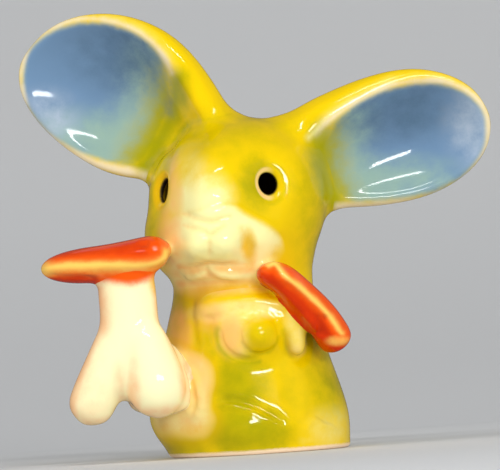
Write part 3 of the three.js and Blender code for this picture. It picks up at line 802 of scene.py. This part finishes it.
def paint_ear(brush, ear):
    """The blue dish: green where it thins out over the yellow at the root, pale at its edges, with
    painted shade high in it and painted light low in it.
    """
    crease, front = ear["crease"], brush.front
    edge = 1.2 + 1.8 * brush.stroke(crease, 4.0, 4.0)
    dish = front * soft(brush.inside(ear["dish"]) / edge, -0.5, 1.0)
    off_root = front * (1 - brush.stroke(crease, 2.0, 2.5))
    clay = clay_stains_and_painted_light(brush)
    brush.spray(
        olive=strongest(clay["olive"], 0.95 * dish * brush.stroke(crease, 9.0, 4.0)),
        cream=strongest(
            (1 - dish) * clay["cream"], 0.2 * off_root * brush.stroke(ear["rim"], 1.2, 1.2),
        ),
        turquoise=dish * (1 - brush.stroke(crease, 5.5, 3.5)),
        # Blue, thinner low in the dish, where painted light lightens the lower wall
        blue=(
            dish
            * (1 - brush.stroke(crease, 10.0, 5.0))
            * (1 - 0.75 * brush.spot(*ear["thin_and_lit"], 0.7))
        ),
        # Slate: a darker spray, with painted shade high in the dish and along the shade line
        slate=dish * strongest(
            0.65 * brush.spot(*ear["slate"], 0.8), 0.5 * brush.stroke(ear["shade"], 0.8, 1.8),
        ),
        mist=0.38 * dish * brush.spot(*ear["bright"], 0.8),
        pale=off_root * strongest(
            0.85 * brush.stroke(ear["rim"], 0.35, 0.65), 0.9 * brush.stroke(ear["lip"], 0.8, 0.7),
        ),
    )


def paint_left_ear(brush):
    paint_ear(brush, LEFT_EAR)


def paint_right_ear(brush):
    paint_ear(brush, RIGHT_EAR)


def paint_cap(brush, crest, red, inner, outer, tip):
    """Orange; along the crest, pale thin glaze and a painted highlight; red with painted shade
    where the sides turn away.
    """
    line = curve(crest).astype(np.float32)
    gap, along = nearest(brush.flat, line)
    step = np.gradient(line, axis=0)
    index = np.clip((along * (len(line) - 1)).astype(int), 0, len(line) - 1)
    off = brush.flat - line[index]
    over = np.sign(step[index, 0] * off[:, 1] - step[index, 1] * off[:, 0]) * gap
    # Pale thin glaze along the crest, with a painted highlight on it
    streak = np.exp(-((over / np.where(over < 0, inner, outer)) ** 2))
    brush.spray(red=red(over), streak=brush.front * strongest(streak, tip))


def paint_left_cap(brush):
    tip = 0.8 * brush.spot(LEFT_CAP_TIP, (3.0, 1.3), 0.6)
    bulb = brush.spot(LEFT_CAP_BULB_TOP, (2.4, 2.0), 0.5)
    underside = soft(brush.x, -29.6, -31.0)

    # Red on the top band and the underside: a darker red, with painted shade where they turn away
    def red(over):
        top = 0.7 * (1 - 0.8 * bulb) * soft(over, 0.8, 2.4)
        return strongest(top, underside * soft(over, -1.5, -2.0))

    paint_cap(brush, LEFT_CAP_CREST, red, inner=1.2, outer=0.75, tip=tip)


def paint_right_cap(brush):
    tip = 0.7 * brush.spot(RIGHT_CAP_END, (1.8, 0.8), 0.7)
    # Painted shade: red in the notch
    notch = 0.8 * brush.stroke(RIGHT_CAP_NOTCH, 0.3, 0.8)

    # Red where the sides turn away from the crest: a darker red, with painted shade
    def red(over):
        return strongest(0.4 * soft(over, 1.4, 3.0), soft(over, -0.7, -2.0), notch)

    paint_cap(brush, RIGHT_CAP_CREST, red, inner=0.45, outer=0.6, tip=tip)


# Where the cap's orange ends on the stem, and the pink strokes of its foot
STEM_COLLAR = [
    (-33.0, 33.6), (-28.6, 33.0), (-25.0, 32.3), (-22.0, 32.6), (-20.0, 33.6), (-17.0, 35.2),
]
STEM_SIDE = [(-27.6, 19.0), (-27.1, 11.5)]
STEM_SEAM = [(-15.4, 17.0), (-13.8, 13.0), (-13.7, 9.0)]
STEM_CORNER = (-19.4, 32.6)  # ochre below the cap: a stain, with a painted reflection of the orange cap


def paint_stem(brush):
    """White, with pink where the sides turn away and orange run down from the cap."""
    line = curve(STEM_COLLAR)
    collar = brush.z - np.interp(brush.x, line[:, 0], line[:, 1])
    left, right = (soft(-brush.normal[:, 0], 0.35, 0.95), soft(brush.normal[:, 0], 0.7, 1.0))
    brush.spray(
        pink=strongest(
            0.9 * (left + 0.6 * right),
            0.45 * soft(brush.normal[:, 2], -0.35, -0.8),  # undersides
            0.5 * brush.stroke(STEM_SIDE, 0.5, 2.0) * soft(brush.z, 20.0, 15.0),
            0.9 * brush.stroke(STEM_SEAM, 0.6, 0.8),
            0.3 * soft(brush.x, -28.0, -33.0),
        ),
        orange=soft(collar, -1.2, 0.9),
        # Ochre below the cap, partly a painted reflection of the cap
        ochre=0.7 * brush.spot(STEM_CORNER, (1.5, 2.4), 0.6),
    )


# Colours of the stains, and of the painted shade and painted highlights among them
STAINS_AND_PAINTED_LIGHT = {
    # olive spray, with painted shade in creases, under parts and on sides that turn away
    "olive": colour(162, 158, 0),
    "cream": colour(255, 248, 174),
    "peach": colour(252, 190, 104),
    "ochre": colour(240, 190, 8),
    "bare": colour(252, 224, 192),
    # dark of the eye holes, a stain with painted shade, and painted shade behind them
    "eye": colour(26, 16, 6),
    "turquoise": colour(150, 180, 166),
    "blue": colour(110, 142, 176),
    # slate of the ears' dishes, a darker blue with painted shade
    "slate": colour(84, 112, 138),
    "mist": colour(200, 210, 222),
    "pale": colour(240, 224, 190),
    # red of the caps, with painted shade
    "red": colour(210, 52, 2),
    # pale thin glaze on the caps' crests, with a painted highlight
    "streak": colour(255, 208, 100),
    "pink": colour(255, 194, 140),
    "orange": colour(250, 92, 8),
}
LIME = colour(240, 203, 0)
ORANGE = colour(250, 88, 6)
WHITE = colour(255, 250, 200)

GLOSS = 0.08  # roughness of the glaze
DULL = 0.6  # roughness that bare clay and the inside have beyond that
SPECULAR = 0.4
POOLED = (0.72, 0.62, 0.4)  # tint of thick glaze
WAVE_STRENGTH = 0.25
WAVE_HEIGHT = 0.00004  # metres
# Sizes of the noises, in repeats to the metre
GRAIN_SCALE = 2600.0
CLOUD_SCALE = 300.0
POOL_SCALE = 160.0
WAVE_SCALE = 420.0

NUMBER = "NodeSocketFloat"
COLOUR = "NodeSocketColor"
# The colour sockets of a Mix node
FACTOR, UNDER, OVER, MIXED = 0, 6, 7, 2


def new_group(name, inputs, outputs):
    group = bpy.data.node_groups.new(name, "ShaderNodeTree")
    for label, kind, default in inputs:
        socket = group.interface.new_socket(label, in_out="INPUT", socket_type=kind)
        socket.default_value = default
    for label, kind in outputs:
        group.interface.new_socket(label, in_out="OUTPUT", socket_type=kind)
    return group, group.nodes.new("NodeGroupInput"), group.nodes.new("NodeGroupOutput")


def group_node(tree, group):
    node = tree.nodes.new("ShaderNodeGroup")
    node.node_tree = group
    return node


def math_node(tree, operation, a, b):
    node = tree.nodes.new("ShaderNodeMath")
    node.operation = operation
    for socket, value in zip(node.inputs, (a, b)):
        if isinstance(value, bpy.types.NodeSocket):
            tree.links.new(value, socket)
        else:
            socket.default_value = value
    return node.outputs[0]


def mix_node(tree, factor, over, blend="MIX"):
    """Lays a colour over whatever is linked to the node's UNDER."""
    node = tree.nodes.new("ShaderNodeMix")
    node.data_type = "RGBA"
    node.blend_type = blend
    tree.links.new(factor, node.inputs[FACTOR])
    node.inputs[OVER].default_value = (*over, 1)
    return node


def noise_node(tree, scale, detail=2.0):
    where = tree.nodes.new("ShaderNodeTexCoord")
    noise = tree.nodes.new("ShaderNodeTexNoise")
    noise.inputs["Detail"].default_value = detail
    tree.links.new(where.outputs["Object"], noise.inputs["Vector"])
    noise.inputs["Scale"].default_value = scale
    return noise.outputs[0]


def stain_node(tree, stain):
    """How much of a layer of colour there is."""
    layer = tree.nodes.new("ShaderNodeAttribute")
    layer.attribute_name = stain
    return layer.outputs["Fac"]


def spatter_group():
    """A sprayed edge: grain and clouds where a layer of colour thins out."""
    group, given, result = new_group(
        "sprayed edge",
        [("Amount", NUMBER, 0.0), ("Grain", NUMBER, 0.9), ("Cloud", NUMBER, 3.6)],
        [("Amount", NUMBER)],
    )
    amount = given.outputs["Amount"]
    thin = math_node(group, "MULTIPLY", amount, math_node(group, "SUBTRACT", 1.0, amount))
    total = amount
    for strength, scale in (("Grain", GRAIN_SCALE), ("Cloud", CLOUD_SCALE)):
        noise = math_node(group, "SUBTRACT", noise_node(group, scale), 0.5)
        noise = math_node(group, "MULTIPLY", noise, given.outputs[strength])
        total = math_node(group, "ADD", total, math_node(group, "MULTIPLY", noise, thin))
    total = math_node(group, "MINIMUM", math_node(group, "MAXIMUM", total, 0.0), 1.0)
    group.links.new(total, result.inputs["Amount"])
    return group


def pooling_group():
    """Glaze that is a little thicker in places: the colour deepens, and the surface waves."""
    group, given, result = new_group(
        "glaze pooling",
        [("Color", COLOUR, (1, 1, 1, 1)), ("Depth", NUMBER, 0.12)],
        [("Color", COLOUR), ("Height", NUMBER)],
    )
    pools = noise_node(group, POOL_SCALE, 3.0)
    depth = math_node(group, "MULTIPLY", pools, given.outputs["Depth"])
    deeper = mix_node(group, depth, POOLED, "MULTIPLY")
    group.links.new(given.outputs["Color"], deeper.inputs[UNDER])
    group.links.new(deeper.outputs[MIXED], result.inputs["Color"])
    group.links.new(noise_node(group, WAVE_SCALE, 1.0), result.inputs["Height"])
    return group


SPATTER = spatter_group()
POOLING = pooling_group()


def glaze(name, ground, stains):
    """Clear gloss over a ground colour and its stains and painted light, each where its attribute
    says.
    """
    material = bpy.data.materials.new(name)
    material.use_nodes = True
    tree = material.node_tree
    shader = tree.nodes["Principled BSDF"]
    shader.inputs["Specular IOR Level"].default_value = SPECULAR
    last = None
    for stain in stains:
        sprayed = group_node(tree, SPATTER)
        tree.links.new(stain_node(tree, stain), sprayed.inputs["Amount"])
        mix = mix_node(tree, sprayed.outputs["Amount"], STAINS_AND_PAINTED_LIGHT[stain])
        if last is None:
            mix.inputs[UNDER].default_value = (*ground, 1)
        else:
            tree.links.new(last, mix.inputs[UNDER])
        last = mix.outputs[MIXED]
    pooled = group_node(tree, POOLING)
    tree.links.new(last, pooled.inputs["Color"])
    tree.links.new(pooled.outputs["Color"], shader.inputs["Base Color"])
    bump = tree.nodes.new("ShaderNodeBump")
    bump.inputs["Strength"].default_value = WAVE_STRENGTH
    bump.inputs["Distance"].default_value = WAVE_HEIGHT
    tree.links.new(pooled.outputs["Height"], bump.inputs["Height"])
    tree.links.new(bump.outputs["Normal"], shader.inputs["Normal"])
    shader.inputs["Roughness"].default_value = GLOSS
    if "bare" in stains:
        rough = GLOSS
        for dull in ("bare", "eye"):
            duller = math_node(tree, "MULTIPLY", stain_node(tree, dull), DULL)
            rough = math_node(tree, "ADD", duller, rough)
        tree.links.new(rough, shader.inputs["Roughness"])
    return material


SHELL_GLAZE = glaze("lime glaze", LIME, ["olive", "cream", "peach", "ochre", "bare", "eye"])
EAR_GLAZE = glaze(
    "ear glaze", LIME, ["olive", "cream", "turquoise", "blue", "slate", "mist", "pale"],
)
CAP_GLAZE = glaze("orange glaze", ORANGE, ["red", "streak"])
STEM_GLAZE = glaze("white glaze", WHITE, ["pink", "ochre", "orange"])
CHEST_GLAZE = glaze("cream glaze", LIME, ["olive", "cream", "peach"])

# Each CAD node's finish: its paint, its glaze and the record's slot
FINISH = {
    "body_shell": (paint_clay, SHELL_GLAZE, "lime_glaze"),
    "head_shell": (paint_clay, SHELL_GLAZE, "lime_glaze"),
    "left_ear": (paint_left_ear, EAR_GLAZE, "ear_glaze"),
    "right_ear": (paint_right_ear, EAR_GLAZE, "ear_glaze"),
    "left_cap": (paint_left_cap, CAP_GLAZE, "orange_glaze"),
    "left_stem": (paint_stem, STEM_GLAZE, "white_glaze"),
    "right_cap": (paint_right_cap, CAP_GLAZE, "orange_glaze"),
    "arm": (paint_clay, CHEST_GLAZE, "cream_glaze"),
    "paw": (paint_clay, CHEST_GLAZE, "cream_glaze"),
}


def build_figure():
    fields = {name: node_field(name) for name in SOFTNESS}
    meshes = part_figure(glazed_figure(fields), fields)
    for node, mesh in meshes.items():
        paint, material, slot = FINISH[node]
        paint(Airbrush(mesh))
        mesh.materials.append(material)
        piece = bpy.data.objects.new("glazed_" + node, mesh)
        bpy.context.scene.collection.objects.link(piece)
        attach(piece, "root")
        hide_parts(node)


# Camera: level with the middle of the figure, rolled as the picture is
VIEW_CENTRE = (-2.34, 0.0, 39.65)
VIEW_WIDTH = 90.9
VIEW_DISTANCE = 1600.0
VIEW_ROLL = 3.7
SENSOR = 36.0


def add_camera():
    camera = bpy.data.cameras.new("camera")
    camera.sensor_width = SENSOR
    camera.lens = SENSOR * VIEW_DISTANCE / VIEW_WIDTH
    camera.clip_start = 0.01
    camera.clip_end = 20
    holder = bpy.data.objects.new("camera", camera)
    centre = Vector(VIEW_CENTRE) * MM
    level = Matrix.Rotation(math.radians(90), 4, "X")
    roll = Matrix.Rotation(math.radians(VIEW_ROLL), 4, "Y")
    place = Matrix.Translation(centre + Vector((0, -VIEW_DISTANCE * MM, 0)))
    holder.matrix_world = place @ roll @ level
    bpy.context.scene.collection.objects.link(holder)
    bpy.context.scene.camera = holder


# Studio, in metres. Each lamp's place, size and power: only the tubes are mirrored in the glaze
AMBIENT = 0.14
LIT_PLACE = (0, 0, 0.045)
SOFTBOXES = {
    "top softbox": ((-0.1, -0.45, 0.9), (0.8, 0.5), 1.6),
    "left softbox": ((-0.9, -0.5, 0.4), (0.6, 0.6), 4.5),
    "right softbox": ((0.9, -0.55, 0.3), (0.6, 0.6), 3.1),
    "front softbox": ((0.0, -1.2, 0.02), (0.6, 0.5), 3.2),
    "back softbox": ((0.1, 0.8, 0.6), (0.6, 0.4), 0.8),
}
TUBES = {
    "low tube": ((0.34, -0.905, 0.275), (0.44, 0.09), 3.4),
    "high tube": ((0.133, -0.656, 0.788), (0.40, 0.045), 1.6),
}
# Backdrop: a sheet of paper that lies on the floor and bends up behind the figure
PAPER_PROFILE = [
    (-2.2, 0.0), (-0.4, 0.0), (0.1, 0.0), (0.3, 0.0), (0.55, 0.06), (0.85, 0.25), (1.0, 0.6),
    (1.02, 1.6),
]
PAPER_HALF_WIDTH = 1.5
PAPER_GREY = (0.72, 0.73, 0.74)
PAPER_ROUGHNESS = 0.9


def add_lamp(name, place, size, power, mirrored):
    lamp = bpy.data.lights.new(name, "AREA")
    lamp.shape = "RECTANGLE"
    lamp.size, lamp.size_y = size
    lamp.energy = power
    holder = bpy.data.objects.new(name, lamp)
    holder.visible_glossy = mirrored
    aim = (Vector(LIT_PLACE) - Vector(place)).to_track_quat("-Z", "Y")
    holder.matrix_world = Matrix.Translation(place) @ aim.to_matrix().to_4x4()
    bpy.context.scene.collection.objects.link(holder)


def add_lamps():
    world = bpy.data.worlds.new("studio")
    world.use_nodes = True
    sky = world.node_tree.nodes["Background"]
    sky.inputs["Color"].default_value = (1, 1, 1, 1)
    sky.inputs["Strength"].default_value = AMBIENT
    bpy.context.scene.world = world
    for name, lamp in SOFTBOXES.items():
        add_lamp(name, *lamp, mirrored=False)
    for name, lamp in TUBES.items():
        add_lamp(name, *lamp, mirrored=True)


def add_backdrop():
    profile = curve(PAPER_PROFILE, steps=8)
    points = [(x, y, z) for y, z in profile for x in (-PAPER_HALF_WIDTH, PAPER_HALF_WIDTH)]
    faces = [(2 * i, 2 * i + 1, 2 * i + 3, 2 * i + 2) for i in range(len(profile) - 1)]
    mesh = bpy.data.meshes.new("backdrop")
    mesh.from_pydata(points, [], faces)
    mesh.shade_smooth()
    paper = bpy.data.materials.new("backdrop paper")
    paper.use_nodes = True
    shader = paper.node_tree.nodes["Principled BSDF"]
    shader.inputs["Base Color"].default_value = (*PAPER_GREY, 1)
    shader.inputs["Roughness"].default_value = PAPER_ROUGHNESS
    mesh.materials.append(paper)
    backdrop = bpy.data.objects.new("backdrop", mesh)
    bpy.context.scene.collection.objects.link(backdrop)
    backdrop.visible_glossy = False


build_figure()
add_camera()
add_lamps()
add_backdrop()
bpy.context.scene.view_settings.view_transform = "Standard"
